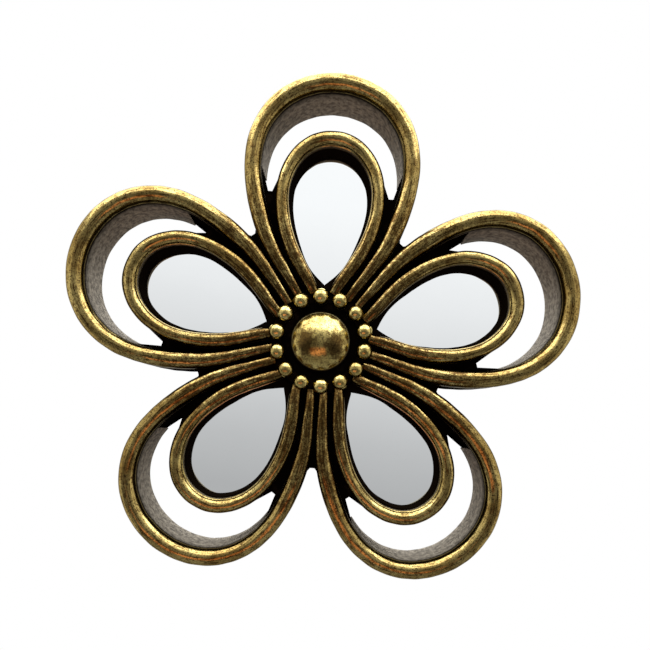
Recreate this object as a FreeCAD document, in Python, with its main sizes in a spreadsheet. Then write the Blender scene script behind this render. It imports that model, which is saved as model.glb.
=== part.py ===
import FreeCAD, Part
import Sketcher
import math
import os

# Flower wall mirror. It hangs upright: the front looks along -Y, the flat back lies
# on the wall at Y = 0 and one petal points straight up. The origin is the hub's centre
# on the back. A level is a height above the back, so it is a distance along -Y.

doc = FreeCAD.newDocument("flower_wall_mirror")
sheet = doc.addObject("Spreadsheet::Sheet", "sizes")

SIZES = (
    ("petal_count", 5, "petals round the hub"),
    ("crest_level", 24.3, "top of the outer bead above the back"),
    ("outer_reach", 125.4, "hub to the outer bead's centre line at the petal tip"),
    ("outer_half_span", 38.7, "petal axis to the outer bead's centre line at its widest"),
    ("outer_bead_half", 4.4, "half the outer bead's width at the tip"),
    ("outer_draft", 1.0, "how far the band's inner wall leans in towards the back"),
    ("crescent_gap", 19.1, "open gap between the two loops at the petal tip"),
    ("loop_side_gap", 15.3, "outer centre line to inner centre line at the widest"),
    ("inner_bead_half", 3.6, "half the inner bead's width at the tip"),
    ("web_drop", 6.8, "webs below the top of the outer bead"),
    ("notch_half", 1.1, "half the width of a notch's flat bottom in the webs"),
    ("window_deep", 5.5, "glass below the webs"),
    ("window_lip", 1.2, "inner bead to the window at the petal tip"),
    ("window_side_lip", 1.8, "inner bead to the window at the sides"),
    ("window_root_lip", 3.6, "boss to the window's point"),
    ("window_flare", 0.9, "how much the window widens towards the front"),
    ("glass_thick", 3.0, "mirror glass"),
    ("glass_cover", 1.5, "how far the frame laps over the glass"),
    ("board_thick", 2.5, "backing board behind the glass"),
    ("seat_gap", 0.15, "clearance round a piece in its seat"),
    ("boss_margin", 0.1, "boss beyond the small beads"),
    ("boss_rise", 2.0, "boss above the webs"),
    ("bead_count", 14, "small beads round the dome"),
    ("bead_radius", 3.6, "one small bead"),
    ("bead_ring_radius", 21.8, "circle through the small beads' centres"),
    ("bead_ring_turn", 3.9, "turn of the bead ring from the petals, in degrees"),
    ("strip_thick", 1.2, "flat strip that carries the small beads"),
    ("strip_half", 2.6, "half the width of that strip"),
    ("dome_radius", 14.2, "central dome"),
    ("dome_rise", 8.5, "dome's crown above the boss"),
    ("dome_edge", 1.6, "upright edge under the dome"),
    ("spigot_radius", 5.0, "round stub under the dome"),
    ("spigot_long", 6.5, "length of that stub"),
    ("hanger_long", 42.0, "keyhole plate"),
    ("hanger_wide", 15.0, "keyhole plate"),
    ("hanger_thick", 1.6, "keyhole plate"),
    ("hanger_inset", 1.0, "keyhole plate's back below the back of the mirror"),
    ("keyhole_radius", 4.5, "round entry of the keyhole"),
    ("slot_half", 2.0, "half the width of the keyhole's slot"),
    ("keyhole_lift", 10.0, "entry's centre to the slot's top centre"),
    ("keyhole_drop", 3.0, "entry's centre below the hub's centre"),
    ("head_room", 5.4, "hollow behind the keyhole plate for the wall screw's head"),
    ("screw_inset", 4.5, "each hanger screw's centre to the keyhole plate's end"),
    ("screw_radius", 1.4, "hanger screw's shank"),
    ("screw_head_radius", 2.7, "hanger screw's countersunk head"),
    ("screw_long", 9.0, "hanger screw"),
    ("overrun", 2.0, "how far a cut runs past what it cuts"),
)
for row, (alias, number, note) in enumerate(SIZES, start=1):
    sheet.set("A%d" % row, note)
    sheet.set("B%d" % row, str(number))
    sheet.setAlias("B%d" % row, alias)
doc.recompute()

# Each loop is symmetric about its petal's axis. One half of its centre line is given from
# the tip to the hub, as shares of the half span, of the reach and of the bead's half width.
OUTER_LOOP_SHARES = (
    (0.0, 1.0, 1.0),
    (0.381, 0.978, 0.99),
    (0.691, 0.919, 0.97),
    (0.92, 0.816, 0.94),
    (1.0, 0.696, 0.92),
    (0.972, 0.594, 0.9),
    (0.858, 0.465, 0.86),
    (0.729, 0.371, 0.77),
    (0.506, 0.262, 0.62),
    (0.341, 0.188, 0.56),
    (0.243, 0.145, 0.52),
)
INNER_LOOP_SHARES = (
    (0.0, 1.0, 1.0),
    (0.423, 0.976, 0.98),
    (0.697, 0.922, 0.95),
    (0.872, 0.857, 0.92),
    (0.97, 0.786, 0.89),
    (1.0, 0.71, 0.88),
    (0.953, 0.605, 0.87),
    (0.838, 0.509, 0.86),
    (0.641, 0.409, 0.86),
    (0.389, 0.315, 0.85),
    (0.252, 0.262, 0.8),
    (0.137, 0.212, 0.75),
)
# The mirror window's edge, as shares of its half span and of the way from its root to its tip.
WINDOW_SHARES = (
    (0.0, 1.0),
    (0.33, 0.98),
    (0.6, 0.925),
    (0.82, 0.84),
    (0.95, 0.75),
    (1.0, 0.635),
    (0.958, 0.51),
    (0.86, 0.4),
    (0.715, 0.285),
    (0.54, 0.175),
    (0.29, 0.078),
)
# A narrower bead is also lower: its crest falls by this share of what its half width loses.
CREST_FALL_SHARE = 0.5
# Where the webs end: the bottom and the mouth of a petal's notches, as shares of the inner
# loop's reach, and the bottom of the notch between two petals, as a share of the outer loop's.
# The last share is how far from that notch to the mouth the plate's edge meets the outer leg.
NOTCH_SHARE = 0.735
MOUTH_SHARE = 0.86
CROTCH_SHARE = 0.497
LEG_SHARE = 0.385
STATION_COUNT = 45
# Height of the small beads' flat sides above the boss, as a share of their strip's thickness.
BEAD_SEAT_SHARE = 0.25
FULL_TURN = 360.0

FRONT = FreeCAD.Vector(0, -1, 0)
UP = FreeCAD.Vector(0, 1, 0)
SIDE = FreeCAD.Vector(1, 0, 0)
ORIGIN = FreeCAD.Vector(0, 0, 0)


def value(expression):
    """Number that an expression of the sheet's cells gives."""
    return float(sheet.evalExpression(expression))


def size(alias):
    return value("sizes." + alias)


# Levels and radii that several pieces share, as expressions of the driving sizes.
WEB_LEVEL = "(sizes.crest_level - sizes.web_drop)"
GLASS_LEVEL = "(%s - sizes.window_deep)" % WEB_LEVEL
BOARD_LEVEL = "(%s - sizes.glass_thick)" % GLASS_LEVEL
BOSS_LEVEL = "(%s + sizes.boss_rise)" % WEB_LEVEL
BOSS_RADIUS = "(sizes.bead_ring_radius + sizes.bead_radius + sizes.boss_margin)"
STRIP_LEVEL = "(%s - sizes.strip_thick / 2)" % BOSS_LEVEL
SCREW_PLACE = "(sizes.hanger_long / 2 - sizes.screw_inset)"

half_pitch = FULL_TURN / size("petal_count") / 2
inner_reach = value("sizes.outer_reach - sizes.outer_bead_half"
                    " - sizes.crescent_gap - sizes.inner_bead_half")
inner_half_span = value("sizes.outer_half_span - sizes.loop_side_gap")


def place(flat, level):
    """Point of a petal's drawing, across and out, put at a level above the back."""
    return FreeCAD.Vector(flat.x, -level, flat.y)


def turned(flat, degrees):
    """Flat point turned about the hub, clockwise as the front is seen."""
    return FreeCAD.Rotation(FreeCAD.Vector(0, 0, -1), degrees).multVec(flat)


def across(flat):
    """The same flat point on the other side of the petal's axis."""
    return FreeCAD.Vector(-flat.x, flat.y, flat.z)


def mirrored(half):
    """Whole outline from its half, which runs from the petal's axis outwards."""
    return [across(point) for point in reversed(half[1:])] + half


def spline(points):
    curve = Part.BSplineCurve()
    curve.interpolate(points)
    return curve


def closed_chain(points):
    """Straight edges from point to point and back to the first."""
    return [Part.LineSegment(a, b) for a, b in zip(points, points[1:] + points[:1])]


def loop_path(shares, half_span, reach, bead_half):
    """Centre line of a loop. Its third coordinate carries the bead's half width."""
    half = [FreeCAD.Vector(half_span * u, reach * v, bead_half * w) for u, v, w in shares]
    return spline(mirrored(half))


def stations(curve):
    """Evenly spaced (point, outward direction, half width) along a loop's centre line."""
    found = []
    for point in curve.discretize(Number=STATION_COUNT):
        along = curve.tangent(curve.parameter(point))[0]
        outward = FreeCAD.Vector(-along.y, along.x, 0).normalize()
        found.append((FreeCAD.Vector(point.x, point.y, 0), outward, point.z))
    return found


def edge_of(path, side, gap=0.0):
    """Points along a loop's outer (side 1) or inner (side -1) edge, moved out by a gap."""
    return [point + outward * (side * half + gap) for point, outward, half in stations(path)]


def right_leg(points):
    return [point for point in points if point.x > 0]


def crossing(points, reach):
    """How far across a row of points lies where it passes a given reach."""
    for ahead, behind in zip(points, points[1:]):
        if (ahead.y - reach) * (behind.y - reach) <= 0:
            return ahead.x + (behind.x - ahead.x) * (ahead.y - reach) / (ahead.y - behind.y)
    return points[-1].x


def band_section(point, outward, half, draft):
    """Half-round bead on a deep band, cut square to the loop. It runs past the back."""
    crest = size("crest_level") - CREST_FALL_SHARE * (size("outer_bead_half") - half)
    shoulder = crest - half
    below = -size("overrun")
    outer, inner = point + outward * half, point - outward * half
    foot = inner - outward * draft
    bead = Part.Arc(place(outer, shoulder), place(point, crest), place(inner, shoulder))
    walls = [Part.LineSegment(place(inner, shoulder), place(foot, below)),
             Part.LineSegment(place(foot, below), place(outer, below)),
             Part.LineSegment(place(outer, below), place(outer, shoulder))]
    return Part.Wire([edge.toShape() for edge in [bead] + walls])


def band_loop(path, draft):
    """Solid of one loop, a loft through the sections at all its stations."""
    return Part.makeLoft([band_section(*station, draft) for station in stations(path)], True, False)


def slab(wire, height):
    """Flat blank of an outline, as thick as given, towards the front."""
    return Part.Face(wire).extrude(FRONT * height)


def slot_outline(long, wide, middle=0.0):
    """Upright outline with round ends, about a middle height on the hub's centre line."""
    half = wide / 2
    top, low = UP * (middle + long / 2 - half), UP * (middle - long / 2 + half)
    return [Part.LineSegment(low + SIDE * half, top + SIDE * half),
            Part.Arc(top + SIDE * half, top + UP * half, top - SIDE * half),
            Part.LineSegment(top - SIDE * half, low - SIDE * half),
            Part.Arc(low - SIDE * half, low - UP * half, low + SIDE * half)]


def window_outline(grow):
    """Mirror window's outline, grown all round, with its point towards the hub."""
    tip = inner_reach - size("inner_bead_half") - size("window_lip") + grow
    root = value(BOSS_RADIUS) + size("window_root_lip") - grow
    widest_row = max(INNER_LOOP_SHARES)
    side_half = size("inner_bead_half") * widest_row[-1]
    half_span = inner_half_span - side_half - size("window_side_lip") + grow
    half = [FreeCAD.Vector(half_span * u, root + (tip - root) * v, 0) for u, v in WINDOW_SHARES]
    point = FreeCAD.Vector(0, root, 0)
    return spline([point] + mirrored(half) + [point])


def window_wire(grow, level):
    """The window's outline as a wire at a level above the back."""
    edge = window_outline(grow).toShape()
    edge.rotate(ORIGIN, SIDE, FULL_TURN / 4)
    edge.translate(FRONT * level)
    return Part.Wire([edge])


def petal_turn(petal):
    """Placement of one petal's piece, turned about the hub from the top petal."""
    return FreeCAD.Placement(ORIGIN, FreeCAD.Rotation(UP, 2 * half_pitch * petal))


petals = range(int(size("petal_count")))
pieces = []


def petal_features(name, shape):
    """One solid for each petal, all alike, turned about the hub."""
    for petal in petals:
        feature = doc.addObject("Part::Feature", "%s_%d" % (name, petal + 1))
        feature.Label = feature.Name
        feature.Shape = shape
        feature.Placement = petal_turn(petal)
        pieces.append(feature)


def new_body(name):
    body = doc.addObject("PartDesign::Body", name)
    body.Label = name
    pieces.append(body)
    return body


def plane_of(body, role):
    return next(feature for feature in body.Origin.OriginFeatures if feature.Role == role)


def sketch_on(body, name, geometry, role="XZ_Plane", level="0"):
    """Sketch on one of the body's own planes; on the upright one it lies at a level."""
    sketch = body.newObject("Sketcher::SketchObject", name)
    sketch.AttachmentSupport = [(plane_of(body, role), "")]
    sketch.MapMode = "FlatFace"
    sketch.setExpression("AttachmentOffset.Base.z", level)
    sketch.addGeometry(geometry)
    return sketch


def round_on(body, name, radii, level="0", up="0"):
    """Sketch of circles about one centre, their radii and height bound to the sheet."""
    circles = [Part.Circle(ORIGIN, FreeCAD.Vector(0, 0, 1), value(radius)) for radius in radii]
    sketch = sketch_on(body, name, circles, level=level)
    for order, radius in enumerate(radii):
        limits = sketch.addConstraint([
            Sketcher.Constraint("Radius", order, value(radius)),
            Sketcher.Constraint("PointOnObject", order, 3, -2),
            Sketcher.Constraint("DistanceY", -1, 1, order, 3, 0.0)])
        sketch.setExpression("Constraints[%d]" % limits[0], radius)
        sketch.setExpression("Constraints[%d]" % limits[2], up)
    return sketch


def swell(body, kind, sketch, length, reverse=False):
    """Pad or Pocket of a sketch, its length bound to the sheet."""
    feature = body.newObject("PartDesign::" + kind, sketch.Name + "_" + kind.lower())
    feature.Profile = sketch
    feature.setExpression("Length", length)
    feature.Reversed = reverse
    return feature


def spin(body, kind, sketch, axis="V_Axis"):
    """Revolution or Groove of a sketch about its own upright axis or one of its edges."""
    feature = body.newObject("PartDesign::" + kind, sketch.Name + "_" + kind.lower())
    feature.Profile = sketch
    feature.ReferenceAxis = (sketch, [axis])
    feature.Angle = FULL_TURN
    return feature


def round_the_hub(body, feature, count):
    """Circular pattern about the axis that runs through the hub from back to front."""
    pattern = body.newObject("PartDesign::PolarPattern", feature.Name + "_pattern")
    pattern.Originals = [feature]
    pattern.Axis = (plane_of(body, "Y_Axis"), [""])
    pattern.Angle = FULL_TURN
    pattern.setExpression("Occurrences", count)
    body.Tip = pattern
    doc.recompute()


outer_path = loop_path(OUTER_LOOP_SHARES, size("outer_half_span"), size("outer_reach"),
                       size("outer_bead_half"))
inner_path = loop_path(INNER_LOOP_SHARES, inner_half_span, inner_reach, size("inner_bead_half"))

# Web ends. A petal's webs end in a narrow notch on each side, between its two loops, and the
# web between two petals ends in another at the crotch. The notches have flat bottoms.
notch_reach = inner_reach * NOTCH_SHARE
mouth_reach = inner_reach * MOUTH_SHARE
inner_edge = right_leg(edge_of(inner_path, 1))
outer_edge = right_leg(edge_of(outer_path, -1))
outer_line = right_leg(edge_of(outer_path, 0))
notch_middle = (crossing(inner_edge, notch_reach) + crossing(outer_edge, notch_reach)) / 2
notch_side = SIDE * size("notch_half")
notch_bottom = FreeCAD.Vector(notch_middle, notch_reach, 0)
crotch_reach = size("outer_reach") * CROTCH_SHARE
crotch_bottom = turned(UP * crotch_reach - notch_side, half_pitch)

# The plate's outline hides under the loops from each notch to the next.
inner_mouth = FreeCAD.Vector(crossing(inner_edge, mouth_reach), mouth_reach, 0)
outer_mouth = FreeCAD.Vector(crossing(outer_edge, mouth_reach), mouth_reach, 0)
low_reach = crotch_bottom.y + (mouth_reach - crotch_bottom.y) * LEG_SHARE
leg_low = FreeCAD.Vector(crossing(outer_line, low_reach), low_reach, 0)
half_corners = [inner_mouth, notch_bottom - notch_side, notch_bottom + notch_side,
                outer_mouth, leg_low, crotch_bottom]
petal_corners = [across(point) for point in reversed(half_corners)] + half_corners
plate_corners = [turned(point, 2 * half_pitch * petal) for petal in petals for point in petal_corners]

# Blanks that shape the petals: all that lies behind the back, the hub plate's webs, the boss
# with its clearance, and one petal's sector of the circle, which ends on the two seams.
past = size("overrun")
far = size("outer_reach") + size("outer_bead_half") + past
behind = Part.makeBox(2 * far, 2 * past, 2 * far, FreeCAD.Vector(-far, 0, -far))
plate_edge = Part.makePolygon([place(point, 0) for point in plate_corners + plate_corners[:1]])
webs = slab(plate_edge, value(WEB_LEVEL))
boss_blank = Part.makeCylinder(value(BOSS_RADIUS) + size("seat_gap"), size("crest_level") + 2 * past,
                               place(ORIGIN, -past), FRONT)
sector_corners = [ORIGIN, turned(UP * 2 * far, -half_pitch), turned(UP * 2 * far, half_pitch), ORIGIN]
sector = slab(Part.makePolygon([place(point, 0) for point in sector_corners]), far)

# Outer petals: the half-round bead on its deep band. The legs stand on the hub plate's webs,
# and where a leg reaches the seam it is cut there, so that it meets the next petal's leg.
outer_petal = band_loop(outer_path, size("outer_draft")).cut([behind, webs, boss_blank]).common(sector)
petal_features("outer_petal", outer_petal)

# Inner petals: bead and band, with a floor between them. The floor has the flared mirror
# window in front and the rebate for the glass behind.
floor = [place(point, -past) for point in edge_of(inner_path, 0)]
floor_edges = [spline(floor), Part.LineSegment(floor[-1], floor[0])]
floor_blank = slab(Part.Wire([edge.toShape() for edge in floor_edges]), value(WEB_LEVEL) + past)
rebate = slab(window_wire(size("glass_cover"), -past), value(GLASS_LEVEL) + past)
window = Part.makeLoft([window_wire(0.0, value(GLASS_LEVEL)),
                        window_wire(size("window_flare"), value(WEB_LEVEL)),
                        window_wire(size("window_flare"), value(WEB_LEVEL) + past)], True, True)
inner_petal = band_loop(inner_path, 0.0).fuse(floor_blank).cut([behind, rebate, window, boss_blank])
petal_features("inner_petal", inner_petal)

# Hub plate: the webbed middle that carries everything. The outer legs stand on its webs, the
# inner petals sit in its openings, and the dome, the bead ring and the hanger are let into it.
hub = new_body("hub_plate")
swell(hub, "Pad", sketch_on(hub, "web_outline", closed_chain(plate_corners)), WEB_LEVEL)
opening = edge_of(inner_path, 1, size("seat_gap"))
opening_edges = [spline(opening), Part.LineSegment(opening[-1], opening[0])]
through_plate = WEB_LEVEL + " + sizes.overrun"
opening_sketch = sketch_on(hub, "petal_opening", opening_edges, level=WEB_LEVEL)
petal_opening = swell(hub, "Pocket", opening_sketch, through_plate)
round_the_hub(hub, petal_opening, "sizes.petal_count")
hub.Tip = swell(hub, "Pad", round_on(hub, "boss", [BOSS_RADIUS]), BOSS_LEVEL)
groove_radii = ["sizes.bead_ring_radius + sizes.strip_half + sizes.seat_gap",
                "sizes.bead_ring_radius - sizes.strip_half - sizes.seat_gap"]
swell(hub, "Pocket", round_on(hub, "strip_groove", groove_radii, BOSS_LEVEL), "sizes.strip_thick / 2")
swell(hub, "Pocket", round_on(hub, "dome_socket", ["sizes.spigot_radius + sizes.seat_gap"], BOSS_LEVEL),
      "sizes.spigot_long + sizes.seat_gap")
recess = slot_outline(value("sizes.hanger_long + 2 * sizes.seat_gap"),
                      value("sizes.hanger_wide + 2 * sizes.seat_gap"))
swell(hub, "Pocket", sketch_on(hub, "hanger_recess", recess), "sizes.hanger_inset + sizes.hanger_thick", True)
keyhole_middle = value("sizes.keyhole_lift / 2 - sizes.keyhole_drop")
head_hollow = slot_outline(value("sizes.keyhole_lift + 2 * sizes.keyhole_radius + sizes.overrun"),
                           value("2 * sizes.keyhole_radius + sizes.overrun"), keyhole_middle)
swell(hub, "Pocket", sketch_on(hub, "head_hollow", head_hollow),
      "sizes.hanger_inset + sizes.hanger_thick + sizes.head_room", True)
for name, up in (("upper_pilot", SCREW_PLACE), ("lower_pilot", "-" + SCREW_PLACE)):
    swell(hub, "Pocket", round_on(hub, name, ["sizes.screw_radius + sizes.seat_gap"], up=up),
          "sizes.hanger_inset + sizes.screw_long + sizes.seat_gap", True)

# Centre dome: a low button with an upright edge and a stub that plugs into the hub.
dome = new_body("centre_dome")
boss_level = value(BOSS_LEVEL)
crown = boss_level + size("dome_rise")
rim = boss_level + size("dome_edge")
stub = boss_level - size("spigot_long")
profile = [(0, crown), (0, stub), (size("spigot_radius"), stub), (size("spigot_radius"), boss_level),
           (size("dome_radius"), boss_level), (size("dome_radius"), rim)]
corners = [FreeCAD.Vector(radius, -level, 0) for radius, level in profile]
ball = (size("dome_radius") ** 2 + (crown - rim) ** 2) / (2 * (crown - rim))
lean = math.asin(size("dome_radius") / ball) / 2
brow = FreeCAD.Vector(ball * math.sin(lean), ball - crown - ball * math.cos(lean), 0)
dome_edges = closed_chain(corners)[:-1] + [Part.Arc(corners[-1], brow, corners[0])]
spin(dome, "Revolution", sketch_on(dome, "dome_profile", dome_edges, "XY_Plane"))

# Bead ring: small half balls on one flat strip, which lies in a groove round the boss.
beads = new_body("bead_ring")
ring_radii = ["sizes.bead_ring_radius + sizes.strip_half", "sizes.bead_ring_radius - sizes.strip_half"]
swell(beads, "Pad", round_on(beads, "strip", ring_radii, STRIP_LEVEL), "sizes.strip_thick")
bead_foot = FreeCAD.Vector(size("bead_ring_radius"), -boss_level - size("strip_thick") * BEAD_SEAT_SHARE, 0)
bead_edge = bead_foot + SIDE * size("bead_radius")
bead_top = bead_foot - UP * size("bead_radius")
bead_brow = bead_foot + (SIDE - UP).normalize() * size("bead_radius")
bead_outline = [Part.LineSegment(bead_top, bead_foot), Part.LineSegment(bead_foot, bead_edge),
                Part.Arc(bead_edge, bead_brow, bead_top)]
bead = spin(beads, "Revolution", sketch_on(beads, "bead_profile", bead_outline, "XY_Plane"), "Edge1")
round_the_hub(beads, bead, "sizes.bead_count")
beads.Placement = FreeCAD.Placement(ORIGIN, FreeCAD.Rotation(UP, -FULL_TURN / 4 - size("bead_ring_turn")))

# Keyhole plate: let into the hub's back, with a hollow behind it for the wall screw's head.
hanger = new_body("keyhole_plate")
hanger_outline = slot_outline(size("hanger_long"), size("hanger_wide"))
back_level = "sizes.hanger_inset"
through_hanger = "sizes.hanger_thick + sizes.overrun"
hanger_sketch = sketch_on(hanger, "plate_outline", hanger_outline, level=back_level)
swell(hanger, "Pad", hanger_sketch, "sizes.hanger_thick")
entry = round_on(hanger, "entry", ["sizes.keyhole_radius"], back_level, "-sizes.keyhole_drop")
swell(hanger, "Pocket", entry, through_hanger, True)
slot_edges = slot_outline(value("sizes.keyhole_lift + 2 * sizes.slot_half"),
                          value("2 * sizes.slot_half"), keyhole_middle)
swell(hanger, "Pocket", sketch_on(hanger, "slot", slot_edges, level=back_level), through_hanger, True)
inset = size("hanger_inset")
head_deep = size("screw_head_radius") - size("screw_radius")
bore = size("screw_radius") + size("seat_gap")
for name, side in (("upper_sink", 1), ("lower_sink", -1)):
    centre = FreeCAD.Vector(-inset, side * value(SCREW_PLACE), 0)
    profile = [centre, centre + UP * (bore + head_deep), centre + UP * bore - SIDE * head_deep,
               centre + UP * bore - SIDE * value(through_hanger), centre - SIDE * value(through_hanger)]
    spin(hanger, "Groove", sketch_on(hanger, name, closed_chain(profile), "YZ_Plane"), "Edge5")

# Hanger screws: countersunk, flush with the keyhole plate's back.
screw_tip = inset + size("screw_long")
screw_profile = [(0, inset), (size("screw_head_radius"), inset), (size("screw_radius"), inset + head_deep),
                 (size("screw_radius"), screw_tip - size("screw_radius")), (0, screw_tip)]
screw_corners = [FreeCAD.Vector(radius, -level, 0) for radius, level in screw_profile]
for name, side in (("upper_hanger_screw", 1), ("lower_hanger_screw", -1)):
    screw = new_body(name)
    spin(screw, "Revolution", sketch_on(screw, name + "_profile", closed_chain(screw_corners), "XY_Plane"))
    screw.Placement = FreeCAD.Placement(FreeCAD.Vector(0, 0, side * value(SCREW_PLACE)), FreeCAD.Rotation())

# Mirrors and their backing boards, laid into each inner petal's rebate from the back.
layer_outline = window_outline(size("glass_cover") - size("seat_gap"))
for petal in petals:
    for name, front, thick in (("mirror", GLASS_LEVEL, "sizes.glass_thick"),
                               ("backing_board", BOARD_LEVEL, "sizes.board_thick")):
        layer = new_body("%s_%d" % (name, petal + 1))
        layer_sketch = sketch_on(layer, layer.Name + "_outline", [layer_outline], level=front)
        swell(layer, "Pad", layer_sketch, thick, True)
        layer.Placement = petal_turn(petal)

doc.recompute()
for thing in doc.Objects:
    if "Invalid" in thing.State or "Error" in thing.State:
        raise RuntimeError("failed: " + thing.Label)
for piece in pieces:
    if piece.Shape.isNull() or not piece.Shape.isValid() or len(piece.Shape.Solids) != 1:
        raise RuntimeError("no sound solid: " + piece.Label)
os.makedirs("parts", exist_ok=True)
for piece in pieces:
    piece.Shape.exportStep("parts/%s.step" % piece.Label)
    print(piece.Label, round(piece.Shape.Volume, 1))
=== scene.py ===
import math

import bpy
import numpy as np
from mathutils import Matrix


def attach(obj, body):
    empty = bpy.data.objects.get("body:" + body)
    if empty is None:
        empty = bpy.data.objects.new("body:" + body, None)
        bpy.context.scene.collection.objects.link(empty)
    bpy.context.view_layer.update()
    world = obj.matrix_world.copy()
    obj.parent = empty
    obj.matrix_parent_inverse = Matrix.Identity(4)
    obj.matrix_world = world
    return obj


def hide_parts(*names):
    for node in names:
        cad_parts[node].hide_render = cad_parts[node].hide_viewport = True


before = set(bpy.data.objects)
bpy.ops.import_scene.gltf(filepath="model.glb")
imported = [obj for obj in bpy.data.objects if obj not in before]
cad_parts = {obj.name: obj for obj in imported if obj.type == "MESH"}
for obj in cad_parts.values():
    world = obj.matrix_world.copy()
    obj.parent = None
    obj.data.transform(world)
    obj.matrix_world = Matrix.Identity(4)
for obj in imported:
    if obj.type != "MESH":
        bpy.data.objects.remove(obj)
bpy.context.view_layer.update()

# Hub plate. The webbed middle of the casting: flat webs between the legs of the loops and a
# round boss in the centre. It lies deep between the beads, so it kept all of its black wash.


def node(tree, kind, inputs=None, **settings):
    """One shader node. An input given another node's output is linked to it, others are set."""
    made = tree.nodes.new("ShaderNode" + kind)
    for name, setting in settings.items():
        setattr(made, name, setting)
    for name, value in (inputs or {}).items():
        if isinstance(value, bpy.types.NodeSocket):
            tree.links.new(value, made.inputs[name])
        else:
            made.inputs[name].default_value = value
    return made


def mixed(tree, share, first, second, blend_type="MIX"):
    """Colour between two, by a share from 0 to 1. Inputs 0, 6 and 7 are the share and the two."""
    return node(tree, "Mix", {0: share, 6: first, 7: second}, data_type="RGBA",
                blend_type=blend_type).outputs[2]


def spread(tree, value, low, high, to_low=0.0, to_high=1.0):
    """A value stretched so that low..high becomes to_low..to_high, and held there outside."""
    return node(tree, "MapRange", {"Value": value, "From Min": low, "From Max": high,
                                   "To Min": to_low, "To Max": to_high}).outputs[0]


def noise(tree, place, scale, detail=4.0, rough=0.55):
    """Cloudy noise with patches of about one over scale, in metres."""
    return node(tree, "TexNoise", {"Vector": place, "Scale": scale, "Detail": detail,
                                   "Roughness": rough}).outputs[0]


def varied(tree, cloud, low, high):
    """A setting between two limits, varied by a noise, most of which lies from 0.3 to 0.7."""
    return spread(tree, cloud, 0.3, 0.7, low, high)


def new_finish(name):
    """Empty material: its node tree, its surface shader and the Object coordinates."""
    finish = bpy.data.materials.new(name)
    finish.use_nodes = True
    tree = finish.node_tree
    shader = tree.nodes["Principled BSDF"]
    return finish, tree, shader, node(tree, "TexCoord").outputs["Object"]


def bump(tree, shader, height, distance):
    """Small relief: the surface rises by a height from 0 to 1 times a distance in metres."""
    relief = node(tree, "Bump", {"Height": height, "Distance": distance, "Strength": 1.0})
    tree.links.new(relief.outputs[0], shader.inputs["Normal"])


def black_wash():
    """Flat black wash over the cast grain, a little browner where it is rubbed. It has no sheen."""
    finish, tree, shader, place = new_finish("black_wash")
    black, brown = (0.0012, 0.0008, 0.0005, 1.0), (0.005, 0.003, 0.0018, 1.0)
    cloud = noise(tree, place, 180.0)
    grain = noise(tree, place, 1400.0, detail=3.0)
    colour = mixed(tree, spread(tree, cloud, 0.55, 0.72), black, brown)
    tree.links.new(colour, shader.inputs["Base Color"])
    tree.links.new(varied(tree, grain, 0.5, 0.75), shader.inputs["Roughness"])
    shader.inputs["Specular IOR Level"].default_value = 0.0
    bump(tree, shader, grain, distance=0.0001)
    return finish


def dress(name, finish):
    """Gives a CAD node its finish."""
    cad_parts[name].data.materials.clear()
    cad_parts[name].data.materials.append(finish)


dress("hub_plate", black_wash())

# Outer petals. Each is one long loop: a half-round bead on a deep band, open inside. The bead
# is gilt and rubbed, the band's outer side browner, its inner side dull and dusty. Sizes are
# in millimetres, levels are above the back, and reaches are up from the hub's middle.
MM = 0.001
PETALS = 5
PITCH = 2.0 * math.pi / PETALS
CREST, WEB, HUB_EDGE = 24.3, 17.5, 23.0
OUTER_SPAN, OUTER_REACH, OUTER_HALF = 38.7, 125.4, 4.4
# Shares of the half span, the reach and the bead's half width, from the tip down one side.
OUTER_LOOP_SHARES = np.array([
    (0.0, 1.0, 1.0), (0.381, 0.978, 0.99), (0.691, 0.919, 0.97), (0.92, 0.816, 0.94),
    (1.0, 0.696, 0.92), (0.972, 0.594, 0.9), (0.858, 0.465, 0.86), (0.729, 0.371, 0.77),
    (0.506, 0.262, 0.62), (0.341, 0.188, 0.56), (0.243, 0.145, 0.52)])
ROWS, ARC, LOOP_SAMPLES = 340, 28, 4000
# Shares of a wall's height, from the shoulder down, at which its section has a point.
WALL_COLUMNS = np.array([0.015, 0.04, 0.1, 0.3, 0.6, 1.0])
# Up to these reaches a wall's foot stands a little into the web, and past them it comes down
# almost to the back.
WEB_END_REACH, CROTCH_REACH = 83.5, 50.0
WEB_SINK, BACK_GAP = 0.3, 0.05
# The crest falls by this share of what a bead is narrower than at the outer loop's tip. The
# inner wall leans in by the draft over the crest's height.
CREST_FALL_SHARE, DRAFT = 0.5, 1.0
END_ROUND, END_LEAST = 1.0, 0.02
# A leg is whole from LEG_FADE below its top. It is as wide as drawn at LEG_DRAWN from the
# hub's middle, wider further out and slimmer nearer in, and dips from DIP_FROM inwards.
OUTER_LEG_TOP, LEG_FADE = 80.0, 20.0
LEG_WIDER, LEG_SLIMMEST, LEG_DRAWN, LEG_WIDER_RUN = 0.1, -0.8, 32.0, 12.0
LEG_DIP, DIP_FROM, DIP_RUN = 1.2, 33.0, 8.0
LEG_FLATTER = 0.2
# Waviness in radians per millimetre along x, y and z, one row for each wave.
WAVES = np.array([(0.31, 0.17, -0.23), (-0.14, 0.27, 0.37), (0.53, -0.41, 0.19)])
WAVE_FASTER, WAVE_SHIFT = 0.3, 2.1
OUTER_UNEVEN = 0.10
SHARP_ANGLE = math.radians(50.0)


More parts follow.
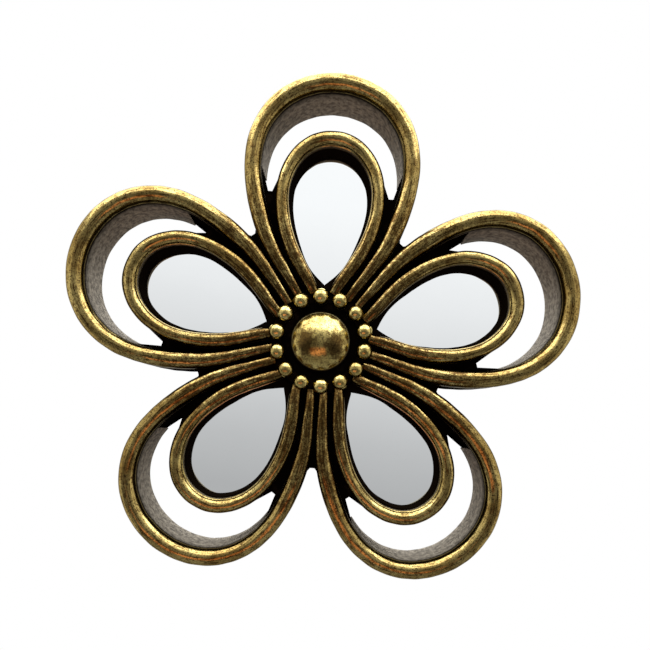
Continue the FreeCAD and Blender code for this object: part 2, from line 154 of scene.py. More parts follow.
def smooth_line(points, samples):
    """Cubic spline through the points by chord length, with no bend at its ends: between
    two points it is the cubic whose value and second derivative match at both of them."""
    knots = np.r_[0.0, np.cumsum(np.linalg.norm(np.diff(points[:, :2], axis=0), axis=1))]
    gap = np.diff(knots)
    rise = np.diff(points, axis=0) / gap[:, None]
    rows = np.eye(len(points))
    inner = np.arange(1, len(points) - 1)
    rows[inner, inner - 1] = gap[:-1]
    rows[inner, inner] = 2.0 * (gap[:-1] + gap[1:])
    rows[inner, inner + 1] = gap[1:]
    pull = np.zeros_like(points)
    pull[1:-1] = 6.0 * np.diff(rise, axis=0)
    bend = np.linalg.solve(rows, pull)
    at = np.linspace(0.0, knots[-1], samples)
    span = np.clip(np.searchsorted(knots, at, side="right") - 1, 0, len(gap) - 1)
    before, after = (at - knots[span])[:, None], (knots[span + 1] - at)[:, None]
    wide = gap[span][:, None]
    return ((bend[span] * after ** 3 + bend[span + 1] * before ** 3) / (6.0 * wide)
            + (points[span] / wide - bend[span] * wide / 6.0) * after
            + (points[span + 1] / wide - bend[span + 1] * wide / 6.0) * before)


def resampled(line):
    """The same line with one point for each row, evenly spaced, and their distances along."""
    along = np.r_[0.0, np.cumsum(np.linalg.norm(np.diff(line[:, :2], axis=0), axis=1))]
    at = np.linspace(0.0, along[-1], ROWS)
    return np.stack([np.interp(at, along, line[:, axis]) for axis in range(line.shape[1])], 1), at


def loop_line(shares, span, reach, half):
    """Rows of a loop from hub to hub: place, outward direction, half width, distance along.
    Outward is the line's own direction turned a quarter to the left."""
    side = shares * (span, reach, half)
    line = smooth_line(np.vstack([side[:0:-1] * (-1, 1, 1), side]), LOOP_SAMPLES)
    line = line[np.hypot(line[:, 0], line[:, 1]) > HUB_EDGE]
    line, along = resampled(line)
    step = np.gradient(line[:, :2], axis=0)
    outward = np.stack([-step[:, 1], step[:, 0]], 1) / np.linalg.norm(step, axis=1)[:, None]
    return line[:, :2], outward, line[:, 2], along


def ended(half, along):
    """Half width, drawn in along a quarter round at both ends of a leg."""
    left = np.clip(np.minimum(along, along[-1] - along) / END_ROUND, END_LEAST, 1.0)
    return half * np.sqrt(1.0 - (1.0 - left) ** 2)


def leg_shape(line, half, leg):
    """Half width and dip of the crest. A leg is up to a tenth fuller than its drawn width, but
    slimmer near the hub, where it dips to the balls by the square of how near it is."""
    out = np.hypot(line[:, 0], line[:, 1])
    fuller = LEG_WIDER * leg[:, 0] * np.clip((out - LEG_DRAWN) / LEG_WIDER_RUN, LEG_SLIMMEST, 1.0)
    return half * (1.0 + fuller), LEG_DIP * np.clip((DIP_FROM - out) / DIP_RUN, 0.0, 1.0) ** 2


def loop_rows(shares, span, reach, tip_half, leg_top):
    """Rows of a finished loop: place, outward direction, distance along, share of leg, half
    width and crest. An end's crest comes down by as much as its half width is drawn in."""
    line, outward, drawn_half, along = loop_line(shares, span, reach, tip_half)
    leg = np.clip((leg_top - line[:, 1]) / LEG_FADE, 0.0, 1.0)[:, None]
    whole_half, dip = leg_shape(line, drawn_half, leg)
    half = ended(whole_half, along)
    crest = CREST - CREST_FALL_SHARE * (OUTER_HALF - whole_half) - (whole_half - half) - dip
    return line, outward, along, leg, half, crest


def uneven(points, height):
    """Slight hand-made waviness: three crossing sine waves in each direction, in millimetres."""
    phase = points @ WAVES.T
    swing = [np.sin(phase * (1.0 + WAVE_FASTER * axis) + WAVE_SHIFT * axis).sum(-1)
             for axis in range(3)]
    return points + height / len(WAVES) * np.stack(swing, -1)


def set_round(points, petal, height):
    """Points of the top petal turned about the hub to another petal's place, clockwise as the
    front is seen, made wavy there by a height, and none left behind the back's plane."""
    c, s = math.cos(petal * PITCH), math.sin(petal * PITCH)
    turned = np.stack([points[..., 0] * c + points[..., 2] * s, points[..., 1],
                       points[..., 2] * c - points[..., 0] * s], -1)
    placed = uneven(turned, height)
    placed[..., 1] = np.minimum(placed[..., 1], 0.0)
    return placed


def surface(name, grids, finish, shades):
    """Mesh of closed grids[row, column] of points in millimetres, with quads between
    neighbours, also from the last column to the first, and one face over each end row. Each
    grid's shade gives its points the attributes that the finish reads."""
    places, quads, ends, values = [], [], [], {key: [] for key in shades[0]}
    start = 0
    for grid, shade in zip(grids, shades):
        rows, columns = grid.shape[:2]
        index = start + np.arange(rows * columns).reshape(rows, columns)
        wide = np.concatenate([index, index[:, :1]], 1)
        corners = [wide[:-1, :-1], wide[:-1, 1:], wide[1:, 1:], wide[1:, :-1]]
        quads.append(np.stack(corners, -1).reshape(-1, 4))
        ends += [index[0][::-1].tolist(), index[-1].tolist()]
        places.append(grid.reshape(-1, 3))
        for key in values:
            values[key].append(np.broadcast_to(shade[key], (rows, columns)).reshape(-1))
        start += rows * columns
    points, faces = np.concatenate(places) * MM, np.concatenate(quads)
    corner = points[faces]
    volume = np.einsum("ij,ij->", corner[:, 0], np.cross(corner[:, 1], corner[:, 2])
                       + np.cross(corner[:, 2], corner[:, 3]))
    if volume < 0.0:
        faces, ends = faces[:, ::-1], [end[::-1] for end in ends]
    mesh = bpy.data.meshes.new(name)
    mesh.from_pydata(points.tolist(), [], faces.tolist() + ends)
    for key, parts in values.items():
        attribute = mesh.attributes.new(key, "FLOAT", "POINT")
        attribute.data.foreach_set("value", np.concatenate(parts).astype(np.float32))
    mesh.polygons.foreach_set("use_smooth", np.ones(len(mesh.polygons), bool))
    mesh.set_sharp_from_angle(angle=SHARP_ANGLE)
    mesh.materials.append(finish)
    piece = bpy.data.objects.new(name, mesh)
    bpy.context.scene.collection.objects.link(piece)
    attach(piece, "root")
    return piece


def stacked(line, outward, offsets, levels):
    """Sections along a line: column c of a row is at line + outward * offset, at a level
    above the back, and the front faces -Y."""
    flat = line[:, None, :] + outward[:, None, :] * offsets[..., None]
    return np.stack([flat[..., 0], -levels, flat[..., 1]], -1)


def bead_arc(half, crest, leg):
    """Bead from its inner to its outer shoulder: offset -cos, level sin. On a leg both are
    raised to a power under 1, which flattens the top and fills out the shoulders."""
    angle = np.linspace(0.0, math.pi, ARC)
    power = 1.0 / (1.0 + LEG_FLATTER * leg)
    across = np.sign(np.cos(angle)) * np.abs(np.cos(angle)) ** power
    return -half[:, None] * across, (crest - half)[:, None] + half[:, None] * np.sin(angle) ** power


def maths(tree, operation, *values):
    """Result of one Math node. MULTIPLY_ADD is the first times the second, plus the third."""
    return node(tree, "Math", dict(enumerate(values)), operation=operation).outputs[0]


def drawn_noise(tree, run, scale_along, scale_around, detail, rough):
    """Noise in the loop's own directions, with one scale along it and one around it."""
    scales = (scale_along, scale_around, 1.0)
    place = node(tree, "Mapping", {"Vector": run, "Scale": scales}).outputs[0]
    return noise(tree, place, 1.0, detail, rough)


def gilding(name, dark_leaf, light_leaf, wear):
    """Antiqued gold leaf on the casting. The attribute gilt is 1 where the leaf is whole and
    0 in the hollows, dust is 1 on the dull inner walls, wear_and_dark_reflection is what the wear
    gains on the leaf, and on the dome's sides also a painted dark reflection, and along and around
    are distances along the loop and across it, in metres."""
    finish, tree, shader, place = new_finish(name)
    glaze, streak = (0.036, 0.0165, 0.0035, 1.0), (0.036, 0.017, 0.004, 1.0)
    pit, black = (0.018, 0.010, 0.004, 1.0), (0.003, 0.0018, 0.001, 1.0)
    grimy, dusty = (0.100, 0.084, 0.063, 1.0), (0.265, 0.226, 0.168, 1.0)
    streak_share, streak_strength, pits_from_wear, streak_relief = 0.55, 0.8, 0.5, 0.8
    dust_sheen, leaf_sheen, bare_dullness = 0.25, 0.5, 0.6
    gilt, dust, wear_and_dark_reflection, along, around = [
        node(tree, "Attribute", attribute_name=key).outputs["Fac"]
        for key in ("gilt", "dust", "wear_and_dark_reflection", "along", "around")]
    run = node(tree, "CombineXYZ", {"X": along, "Y": around}).outputs[0]
    streaks = drawn_noise(tree, run, 110.0, 1500.0, detail=5.0, rough=0.6)
    smears = drawn_noise(tree, run, 360.0, 430.0, detail=6.0, rough=0.65)
    cloud = noise(tree, place, 70.0, detail=5.0, rough=0.6)
    patches = noise(tree, place, 520.0, detail=7.0, rough=0.7)
    grain = noise(tree, place, 1600.0, detail=3.0, rough=0.65)
    # The brown glaze stays on the leaf in patches and streaks, and where the grain is pitted.
    leaf = mixed(tree, spread(tree, cloud, 0.36, 0.62), dark_leaf, light_leaf)
    # Glaze and pits grow with the wear attribute read above: real wear on the legs and near the hub,
    # and a painted dark reflection on the dome's sides.
    rubbed_and_dark_reflection = maths(tree, "ADD", mixed(tree, streak_share, patches, streaks), wear_and_dark_reflection)
    leaf = mixed(tree, spread(tree, rubbed_and_dark_reflection, 0.49, 0.58, to_high=wear), leaf, glaze)
    streaked = spread(tree, streaks, 0.55, 0.70, to_high=streak_strength * wear)
    leaf = mixed(tree, streaked, leaf, streak)
    pitted_and_dark_reflection = maths(tree, "MULTIPLY_ADD", wear_and_dark_reflection, pits_from_wear, grain)
    leaf = mixed(tree, spread(tree, pitted_and_dark_reflection, 0.53, 0.62, to_high=wear), leaf, pit)
    # Where no leaf is, the casting is black with wash, or grey with smeared dust.
    bare = mixed(tree, spread(tree, smears, 0.40, 0.60), grimy, dusty)
    bare = mixed(tree, dust, black, bare)
    tree.links.new(mixed(tree, gilt, bare, leaf), shader.inputs["Base Color"])
    tree.links.new(spread(tree, gilt, 0.1, 0.8), shader.inputs["Metallic"])
    sheen = spread(tree, gilt, 0.0, 0.6, to_high=leaf_sheen)
    sheen = maths(tree, "MULTIPLY_ADD", dust, dust_sheen, sheen)
    tree.links.new(sheen, shader.inputs["Specular IOR Level"])
    dull = spread(tree, gilt, 0.1, 0.9, bare_dullness, 0.0)
    dull = maths(tree, "ADD", varied(tree, patches, 0.10, 0.24), dull)
    tree.links.new(dull, shader.inputs["Roughness"])
    relief = maths(tree, "ADD", patches, grain)
    relief = maths(tree, "MULTIPLY_ADD", streaks, streak_relief, relief)
    bump(tree, shader, relief, distance=0.00002)
    shader.inputs["Specular Tint"].default_value = (0.75, 0.69, 0.58, 1.0)
    return finish


# Depths below the shoulder at which the leaf is gone or dust lies, the share of leaf left at
# the inner shoulder, and what the wear gains on the legs and near the hub.
WALL_START = 0.01
OUTER_SHOULDER_LEAF, OUTER_WALL_LEAF_RUN, OUTER_BEAD_LEAF_RUN = 0.5, 0.35, 0.6
OUTER_TIP_LEAF, OUTER_LEG_LEAF = 14.0, 2.5
DUST_FROM, DUST_RUN = 0.8, 3.0
LEG_WEAR, HUB_WEAR, HUB_WEAR_FROM, HUB_WEAR_RUN = 0.045, 0.035, 55.0, 25.0


def shoulder_leaf(above, left, run):
    """Leaf near the inner shoulder: a share is left at it, and grows by 1 over each run above."""
    return np.clip(left + above / run, 0.0, 1.0)


def wall_leaf(below, leg, tip_depth, leg_depth):
    """Leaf on the outer wall: 1 at the shoulder and 0 from a depth on, which is less on legs."""
    return np.clip(1.0 - below / (tip_depth - (tip_depth - leg_depth) * leg), 0.0, 1.0)


def leg_wear(line, leg):
    """More wear on the legs, and most where they run together at the hub."""
    out = np.hypot(line[:, 0], line[:, 1])
    near = np.clip((HUB_WEAR_FROM - out) / HUB_WEAR_RUN, 0.0, 1.0)[:, None]
    return LEG_WEAR * leg + HUB_WEAR * near


gold = gilding("antiqued_gilding", dark_leaf=(0.150, 0.098, 0.028, 1.0),
               light_leaf=(0.245, 0.186, 0.066, 1.0), wear=0.92)
line, outward, along, leg, half, crest = loop_rows(
    OUTER_LOOP_SHARES, OUTER_SPAN, OUTER_REACH, OUTER_HALF, OUTER_LEG_TOP)
shoulder = crest - half
inner_foot = np.where(line[:, 1] < WEB_END_REACH, WEB - WEB_SINK, BACK_GAP)
outer_foot = np.where(line[:, 1] < CROTCH_REACH, WEB - WEB_SINK, BACK_GAP)
arc_offset, arc_level = bead_arc(half, crest, leg)
inner_level = shoulder[:, None] + (inner_foot - shoulder)[:, None] * WALL_COLUMNS[::-1]
inner_offset = -half[:, None] - DRAFT * (shoulder[:, None] - inner_level) / CREST
outer_level = shoulder[:, None] + (outer_foot - shoulder)[:, None] * WALL_COLUMNS
outer_offset = np.broadcast_to(half[:, None], outer_level.shape)
middle = np.zeros((ROWS, 1))
offsets = np.hstack([middle, inner_offset, arc_offset, outer_offset, middle])
levels = np.hstack([inner_foot[:, None], inner_level, arc_level, outer_level, outer_foot[:, None]])
# The leaf is whole over the bead, half worn off at its inner shoulder and gone just below it.
# It thins out down the outer wall, soonest on the legs, and none is on the back.
below = shoulder[:, None] - levels
on_wall = below > WALL_START
inside, outside = (offsets < 0.0) & on_wall, (offsets > 0.0) & on_wall
inner_bead = (offsets < 0.0) & ~on_wall
gilt = np.where(inside, shoulder_leaf(-below, OUTER_SHOULDER_LEAF, OUTER_WALL_LEAF_RUN), 1.0)
gilt = np.where(outside, wall_leaf(below, leg, OUTER_TIP_LEAF, OUTER_LEG_LEAF), gilt)
gilt = np.where(offsets == 0.0, 0.0, gilt)
gilt = np.where(inner_bead, shoulder_leaf(-below, OUTER_SHOULDER_LEAF, OUTER_BEAD_LEAF_RUN), gilt)
around = np.cumsum(np.r_[0.0, np.hypot(np.diff(offsets[ROWS // 2]), np.diff(levels[ROWS // 2]))])
dust = (1.0 - leg) * inside * np.clip((below - DUST_FROM) / DUST_RUN, 0.0, 1.0)
outer_shade = {"gilt": gilt, "dust": dust, "wear_and_dark_reflection": leg_wear(line, leg),
               "along": along[:, None] * MM, "around": around[None, :] * MM}
outer_grid = stacked(line, outward, offsets, levels)
for petal in range(PETALS):
    grid = set_round(outer_grid, petal, OUTER_UNEVEN)
    piece = surface("outer_loop_%d" % (petal + 1), [grid], gold, [outer_shade])
    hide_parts("outer_petal_%d" % (petal + 1))

# Inner petals. A smaller loop with a floor inside it. The floor is cut out for the mirror, its
# edge flares towards the front, and behind it lies the rebate that holds the glass.
GLASS = 12.0
INNER_SPAN, INNER_REACH, INNER_HALF, INNER_LEG_TOP = 23.4, 98.3, 3.6, 70.0
INNER_LOOP_SHARES = np.array([
    (0.0, 1.0, 1.0), (0.423, 0.976, 0.98), (0.697, 0.922, 0.95), (0.872, 0.857, 0.92),
    (0.97, 0.786, 0.89), (1.0, 0.71, 0.88), (0.953, 0.605, 0.87), (0.838, 0.509, 0.86),
    (0.641, 0.409, 0.86), (0.389, 0.315, 0.85), (0.252, 0.262, 0.8), (0.137, 0.212, 0.75)])
WINDOW_TIP, WINDOW_ROOT, WINDOW_SPAN = 93.5, 29.1, 18.43
# Shares of the window's half span and of its height over the root, from the tip down one side.
WINDOW_SHARES = np.array([
    (0.0, 1.0), (0.33, 0.98), (0.6, 0.925), (0.82, 0.84), (0.95, 0.75), (1.0, 0.635),
    (0.958, 0.51), (0.86, 0.4), (0.715, 0.285), (0.54, 0.175), (0.29, 0.078)])
WINDOW_SAMPLES, WINDOW_FOOT = 3000, 0.1
WINDOW_FLARE, GLASS_COVER = 0.9, 1.5
# The outer wall steps out by the lap over a short run above the web, to meet it with no gap.
SEAT_LAP, LAP_RUN = 0.3, 1.0
# Shares of the floor's width and of the flare's height with a column each, and the distance
# that a column counts for in the wear's pattern.
FLOOR_COLUMNS, FLARE_COLUMNS, COLUMN_STEP = (0.0, 0.35, 0.7, 1.0), (0.33, 0.67, 1.0), 0.4
INNER_SHOULDER_LEAF, INNER_BEAD_LEAF_RUN = 0.4, 0.5
INNER_TIP_LEAF, INNER_LEG_LEAF = 9.0, 2.0
INNER_UNEVEN = 0.08


def window_line(grow):
    """The window's edge from the boss up the petal's axis to its point, round it and back, so
    that it has a place for every row of the loop. It is grown outwards by an amount."""
    tip, root, span = WINDOW_TIP + grow, WINDOW_ROOT - grow, WINDOW_SPAN + grow
    side = np.stack([span * WINDOW_SHARES[:, 0], root + (tip - root) * WINDOW_SHARES[:, 1]], 1)
    point, foot = np.array([[0.0, root]]), np.array([[0.0, HUB_EDGE - WINDOW_FOOT]])
    edge = smooth_line(np.vstack([point, side[:0:-1] * (-1, 1), side, point]), WINDOW_SAMPLES)
    return resampled(np.vstack([foot, edge, foot]))[0]


def at_level(flat, level):
    """A row of flat places put at one level above the back, as one column of the grid."""
    level = np.broadcast_to(level, len(flat))
    return np.stack([flat[:, 0], -level, flat[:, 1]], 1)[:, None, :]


line, outward, along, leg, half, crest = loop_rows(
    INNER_LOOP_SHARES, INNER_SPAN, INNER_REACH, INNER_HALF, INNER_LEG_TOP)
shoulder = crest - half
arc_offset, arc_level = bead_arc(half, crest, leg)
outer_level = shoulder[:, None] + (BACK_GAP - shoulder)[:, None] * WALL_COLUMNS
outer_offset = half[:, None] + SEAT_LAP * np.clip((WEB + LAP_RUN - outer_level) / LAP_RUN, 0.0, 1.0)
bead_grid = stacked(line, outward, np.hstack([arc_offset, outer_offset]),
                    np.hstack([arc_level, outer_level]))
inner_edge = line - outward * half[:, None]
flared, sharp, rebate = window_line(WINDOW_FLARE), window_line(0.0), window_line(GLASS_COVER)
floor_row = [at_level(inner_edge + (flared - inner_edge) * share, WEB) for share in FLOOR_COLUMNS]
wall_row = [at_level(flared + (sharp - flared) * share, WEB + (GLASS - WEB) * share)
            for share in FLARE_COLUMNS]
seat_row = [at_level(rebate, GLASS), at_level(rebate, BACK_GAP)]
inner_grid = np.concatenate([bead_grid] + seat_row[::-1] + wall_row[::-1] + floor_row[::-1], 1)
# The leaf is as on the outer loops. The floor, the flared edge and the rebate have none.
bead_columns, inner_half = bead_grid.shape[1], ARC // 2
below = np.zeros(inner_grid.shape[:2])
below[:, ARC:bead_columns] = shoulder[:, None] - outer_level
gilt = np.where(below > WALL_START, wall_leaf(below, leg, INNER_TIP_LEAF, INNER_LEG_LEAF), 1.0)
gilt[:, :inner_half] *= shoulder_leaf((arc_level - shoulder[:, None])[:, :inner_half],
                                      INNER_SHOULDER_LEAF, INNER_BEAD_LEAF_RUN)
gilt[:, bead_columns:] = 0.0
inner_shade = {"gilt": gilt, "dust": 0.0, "wear_and_dark_reflection": leg_wear(line, leg), "along": along[:, None] * MM,
               "around": np.arange(inner_grid.shape[1])[None, :] * COLUMN_STEP * MM}
for petal in range(PETALS):
    grid = set_round(inner_grid, petal, INNER_UNEVEN)
    piece = surface("inner_loop_%d" % (petal + 1), [grid], gold, [inner_shade])
    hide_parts("inner_petal_%d" % (petal + 1))

# Mirrors. Five teardrops of silvered glass, cut to shape and laid into the rebates from the
# back. Their faces are flat and clean.


def silvering():
    """Silvered glass with a very faint haze."""
    finish, tree, shader, place = new_finish("silvered_glass")
    hazy, clear = (0.925, 0.95, 0.965, 1.0), (0.955, 0.98, 0.99, 1.0)
    haze = noise(tree, place, 60.0, detail=3.0)
    tree.links.new(mixed(tree, haze, hazy, clear), shader.inputs["Base Color"])
    shader.inputs["Metallic"].default_value = 1.0
    tree.links.new(varied(tree, haze, 0.015, 0.04), shader.inputs["Roughness"])
    return finish


silver = silvering()
for petal in range(PETALS):
    dress("mirror_%d" % (petal + 1), silver)

# Backing boards. A thin brown board behind each glass, pressed from wood fibre and pushed into
# the rebate from the back.


def fibre_board():
    """Pressed board: brown fibres of two tones, with darker stains."""
    finish, tree, shader, place = new_finish("fibre_board")
    dark, light = (0.14, 0.075, 0.035, 1.0), (0.30, 0.18, 0.095, 1.0)
    stained = (0.11, 0.06, 0.03, 1.0)
    fibre = noise(tree, place, 900.0, detail=6.0, rough=0.7)
    stain = noise(tree, place, 60.0)
    colour = mixed(tree, fibre, dark, light)
    colour = mixed(tree, spread(tree, stain, 0.4, 0.7, to_high=0.4), colour, stained)
    tree.links.new(colour, shader.inputs["Base Color"])
    shader.inputs["Roughness"].default_value = 0.82
    bump(tree, shader, fibre, distance=0.00015)
    return finish


board = fibre_board()
for petal in range(PETALS):
    dress("backing_board_%d" % (petal + 1), board)

# Bead ring. Fourteen small balls on a flat strip, cast with the boss. The balls are gilt down
# to their middle, and the strip kept its black wash.
BEADS, BEAD_RADIUS, BEAD_RING, BEAD_TURN, BEAD_LEVEL = 14, 4.15, 21.8, math.radians(3.9), 20.8
BALL_ROWS, BALL_COLUMNS, BALL_TOP, BALL_FOOT = 19, 32, 0.02, 0.62 * math.pi
BALL_UNLIKE, BALL_PHASE, BALL_UNEVEN, BALL_LEAF_RUN = 0.02, 5.3, 0.12, 0.3
STRIP_HALF, STRIP_FOOT, STRIP_TOP, STRIP_ROWS = 2.6, 18.9, 20.1, 121


def ball(number):
    """Upper part of one ball, by its bearing and its angle from the top: sin and cos of both
    times its radius, which differs a little from ball to ball."""
    bearing, fall = np.meshgrid(np.linspace(0.0, 2.0 * math.pi, BALL_COLUMNS + 1)[:-1],
                                np.linspace(BALL_TOP, BALL_FOOT, BALL_ROWS))
    turn = -BEAD_TURN + number * 2.0 * math.pi / BEADS
    radius = BEAD_RADIUS * (1.0 + BALL_UNLIKE * math.sin(BALL_PHASE * number))
    return np.stack([BEAD_RING * math.sin(turn) + radius * np.sin(fall) * np.cos(bearing),
                     -BEAD_LEVEL - radius * np.cos(fall),
                     BEAD_RING * math.cos(turn) + radius * np.sin(fall) * np.sin(bearing)], -1)


def round_shade(gilt, wear_and_dark_reflection=0.0):
    """Attributes of a round piece, which is clean and has no direction for streaks."""
    return {"gilt": gilt, "dust": 0.0, "wear_and_dark_reflection": wear_and_dark_reflection, "along": 0.0, "around": 0.0}


balls = [uneven(ball(number), BALL_UNEVEN) for number in range(BEADS)]
bearing = np.linspace(0.0, 2.0 * math.pi, STRIP_ROWS)
strip_radius = BEAD_RING + STRIP_HALF * np.array([-1.0, -1.0, 1.0, 1.0])
strip_level = np.array([STRIP_FOOT, STRIP_TOP, STRIP_TOP, STRIP_FOOT])
strip = np.stack([np.sin(bearing)[:, None] * strip_radius,
                  np.broadcast_to(-strip_level, (STRIP_ROWS, len(strip_level))),
                  np.cos(bearing)[:, None] * strip_radius], -1)
ball_gilt = np.clip(0.5 + (-balls[0][..., 1] - BEAD_LEVEL) / BALL_LEAF_RUN, 0.0, 1.0)
polished = gilding("polished_gilding", dark_leaf=(0.20, 0.148, 0.045, 1.0),
                   light_leaf=(0.34, 0.268, 0.095, 1.0), wear=0.85)
piece = surface("bead_circle", balls + [strip], polished,
                [round_shade(ball_gilt)] * BEADS + [round_shade(0.0)])
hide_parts("bead_ring")

# Centre dome. A low button with an upright edge, plugged into the boss. Its leaf ends short of the
# edge and is darkened in a patch at both sides of the crown, partly rubbed and partly a painted dark
# reflection, and the whole is dented a little.
DOME_RADIUS, DOME_CROWN, DOME_RIM, BOSS = 14.6, 28.0, 21.1, 19.5
DOME_ROWS, EDGE_ROWS, DOME_COLUMNS, DOME_TOP = 60, 4, 128, 0.004
EDGE_GAP, FOOT_IN = 0.1, 1.0
DOME_LEAF_FROM, DOME_LEAF_RUN, DOME_UNEVEN = 0.5, 0.9, 0.07
SIDE_RUB_AND_REFLECTION, SIDE_PATCH_ACROSS, SIDE_PATCH_DOWN, SIDE_PATCH_WIDE, SIDE_PATCH_HIGH = 0.20, 7.0, 1.5, 3.2, 5.0
# The crown is part of a ball that passes through the rim: its radius is (radius squared plus
# rise squared) over twice the rise.
rise = DOME_CROWN - DOME_RIM
dome_ball = (DOME_RADIUS ** 2 + rise ** 2) / (2.0 * rise)
lean = np.linspace(DOME_TOP, math.asin(DOME_RADIUS / dome_ball), DOME_ROWS)
dome_radius = np.r_[dome_ball * np.sin(lean), np.full(EDGE_ROWS, DOME_RADIUS), DOME_RADIUS - FOOT_IN]
dome_level = np.r_[DOME_CROWN - dome_ball * (1.0 - np.cos(lean)),
                   np.linspace(DOME_RIM - EDGE_GAP, BOSS, EDGE_ROWS), BOSS]
dome_bearing = np.linspace(0.0, 2.0 * math.pi, DOME_COLUMNS + 1)[:-1]
dome = np.stack([dome_radius[:, None] * np.cos(dome_bearing),
                 np.broadcast_to(-dome_level[:, None], (len(dome_level), DOME_COLUMNS)),
                 dome_radius[:, None] * np.sin(dome_bearing)], -1)
dome_gilt = np.clip((dome_level - DOME_RIM - DOME_LEAF_FROM) / DOME_LEAF_RUN, 0.0, 1.0)[:, None]
# A darker patch at each side of the crown, a little below its middle: partly rubbed leaf, partly a
# painted dark reflection.
dome_rub_and_dark_reflection = SIDE_RUB_AND_REFLECTION * np.exp(-((np.abs(dome[..., 0]) - SIDE_PATCH_ACROSS) / SIDE_PATCH_WIDE) ** 2
                         - ((dome[..., 2] + SIDE_PATCH_DOWN) / SIDE_PATCH_HIGH) ** 2)
piece = surface("centre_button", [uneven(dome, DOME_UNEVEN)], polished,
                [round_shade(dome_gilt, dome_rub_and_dark_reflection)])
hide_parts("centre_dome")

# Hanger. A keyhole plate stamped from sheet steel and zinc plated, let into the hub's back and
# held by two countersunk screws.


def zinc():
    """Dull zinc plating with the spangle of its crystals."""
    finish, tree, shader, place = new_finish("zinc_plate")
    spangle = node(tree, "TexVoronoi", {"Vector": place, "Scale": 700.0}).outputs["Color"]
    fine = noise(tree, place, 3000.0, detail=2.0)
    grey, spangle_share = (0.34, 0.34, 0.33, 1.0), 0.25
    colour = mixed(tree, spangle_share, grey, spangle, "OVERLAY")
    tree.links.new(colour, shader.inputs["Base Color"])
    shader.inputs["Metallic"].default_value = 1.0
    tree.links.new(varied(tree, fine, 0.3, 0.48), shader.inputs["Roughness"])
    return finish


plated = zinc()
for name in ("keyhole_plate", "upper_hanger_screw", "lower_hanger_screw"):
    dress(name, plated)

# Studio. A pale floor well below, a wide soft lamp overhead, a warm one low in front, and
# white all round, with a grey fall towards the ground in front of the mirror. Metres here.
FLOOR_HALF, FLOOR_LEVEL = 0.5, -0.45
# How bright the front is for reflections, from straight down at 0 to straight up at 1.
FRONT_STOPS = [(0.0, 0.62), (0.25, 0.55), (0.38, 0.45), (0.43, 0.45), (0.475, 0.53), (0.545, 0.71),
               (0.60, 0.86), (0.67, 0.99), (0.72, 1.0)]
FRONT_TILT = 0.06


def white_round():
    """World: white to the eye. Reflections see a grey fall in front, a brighter back, and the
    light side walls and ceiling of a studio. Dull surfaces are lit by an even grey."""
    world = bpy.data.worlds.new("studio")
    bpy.context.scene.world = world
    world.use_nodes = True
    tree = world.node_tree
    tree.nodes.clear()
    white, even = (1.0, 1.0, 1.0, 1.0), (0.55, 0.55, 0.55, 1.0)
    side_wall, ceiling = (2.2, 2.18, 2.1, 1.0), (3.2, 3.3, 3.45, 1.0)
    # Each direction runs from -1 to 1, and the limits are where one side passes into another.
    way = node(tree, "TexCoord").outputs["Generated"]
    across, back, up = node(tree, "SeparateXYZ", {0: way}).outputs
    tilted = maths(tree, "MULTIPLY_ADD", across, FRONT_TILT, up)
    front = node(tree, "ValToRGB", {0: spread(tree, tilted, -1.0, 1.0)})
    ramp = front.color_ramp
    while len(ramp.elements) < len(FRONT_STOPS):
        ramp.elements.new(0.5)
    for element, (place, grey) in zip(ramp.elements, FRONT_STOPS):
        element.position = place
        element.color = (grey, grey, grey, 1.0)
    behind = spread(tree, back, 0.2, 0.8, 1.9, 0.4)
    reflected = mixed(tree, spread(tree, back, -0.5, 0.1), front.outputs[0], behind)
    not_behind = spread(tree, back, 0.1, 0.5, 1.0, 0.0)
    flank = maths(tree, "ADD", maths(tree, "ABSOLUTE", across), up)
    flank = maths(tree, "MULTIPLY", spread(tree, flank, 0.58, 0.9), not_behind)
    reflected = mixed(tree, flank, reflected, side_wall)
    high = maths(tree, "MULTIPLY", spread(tree, up, 0.42, 0.64), not_behind)
    reflected = mixed(tree, high, reflected, ceiling)
    path = node(tree, "LightPath").outputs
    clear = maths(tree, "MAXIMUM", path["Is Glossy Ray"], path["Is Transmission Ray"])
    colour = mixed(tree, clear, even, reflected)
    colour = mixed(tree, path["Is Camera Ray"], colour, white)
    shade = node(tree, "Background", {"Color": colour})
    out = node(tree, "OutputWorld")
    tree.links.new(shade.outputs[0], out.inputs[0])


def lamp(name, place, aim, wide, high, radiance, colour):
    """Soft rectangular lamp. Its power is radiance times pi times its area."""
    light = bpy.data.lights.new(name, "AREA")
    light.shape = "RECTANGLE"
    light.size, light.size_y = wide, high
    light.energy = radiance * math.pi * wide * high
    light.color = colour
    holder = bpy.data.objects.new(name, light)
    holder.location = place
    way = np.array(aim) - np.array(place)
    flat = math.hypot(way[0], way[1])
    holder.rotation_euler = (math.atan2(flat, -way[2]), 0.0, math.atan2(-way[0], way[1]))
    holder.visible_camera = False
    bpy.context.scene.collection.objects.link(holder)


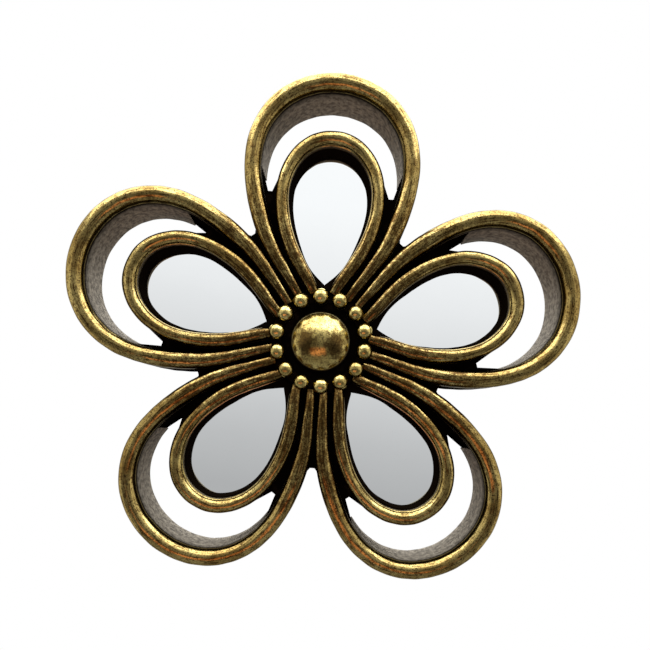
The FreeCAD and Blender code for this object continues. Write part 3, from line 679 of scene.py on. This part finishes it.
def pale_floor():
    """Pale paint, faintly clouded. The camera sees it as plain white."""
    finish, tree, shader, place = new_finish("pale_floor")
    darker, paler = (0.205, 0.205, 0.20, 1.0), (0.24, 0.24, 0.235, 1.0)
    colour = mixed(tree, noise(tree, place, 6.0), darker, paler)
    tree.links.new(colour, shader.inputs["Base Color"])
    glow = node(tree, "Emission", {"Color": (1.0, 1.0, 1.0, 1.0)})
    seen = node(tree, "MixShader", {0: node(tree, "LightPath").outputs["Is Camera Ray"],
                                    1: shader.outputs[0], 2: glow.outputs[0]})
    tree.links.new(seen.outputs[0], tree.nodes["Material Output"].inputs["Surface"])
    return finish


white_round()
lamp("overhead", place=(0.0, -0.12, 0.72), aim=(0.0, -0.10, 0.0), wide=1.9, high=1.4,
     radiance=6.6, colour=(0.93, 0.98, 1.08))
lamp("low_warm", place=(-0.07, -0.54, -0.30), aim=(0.0, 0.0, -0.02), wide=0.50, high=0.22,
     radiance=1.7, colour=(1.0, 0.34, 0.13))
floor_mesh = bpy.data.meshes.new("floor")
floor_mesh.from_pydata([(x * FLOOR_HALF, y * FLOOR_HALF, FLOOR_LEVEL)
                        for x, y in ((-1, -1), (1, -1), (1, 1), (-1, 1))], [], [(0, 1, 2, 3)])
floor_mesh.materials.append(pale_floor())
ground = bpy.data.objects.new("floor", floor_mesh)
bpy.context.scene.collection.objects.link(ground)

# Camera. It stands close in front and a little low, rolled so that the top petal leans left.
# The point that it faces lies low in the picture, so the picture is shifted.
FOCAL_PIXELS, PHOTO_SIDE, SENSOR_WIDTH = 565.85, 650.0, 36.0
CENTRE_ACROSS, CENTRE_DOWN = 330.55, 424.05
CAMERA_PLACE, CAMERA_ANGLES = (0.004856, -0.297491, -0.035038), (89.0023, -3.8845, -0.4966)
CLOSEST_SEEN = 0.01
camera = bpy.data.objects.new("camera", bpy.data.cameras.new("camera"))
camera.data.sensor_width = SENSOR_WIDTH
camera.data.lens = SENSOR_WIDTH * FOCAL_PIXELS / PHOTO_SIDE
camera.data.shift_x = 0.5 - CENTRE_ACROSS / PHOTO_SIDE
camera.data.shift_y = CENTRE_DOWN / PHOTO_SIDE - 0.5
camera.data.clip_start = CLOSEST_SEEN
camera.location = CAMERA_PLACE
camera.rotation_euler = [math.radians(angle) for angle in CAMERA_ANGLES]
bpy.context.scene.collection.objects.link(camera)
bpy.context.scene.camera = camera
bpy.context.scene.view_settings.view_transform = "Standard"
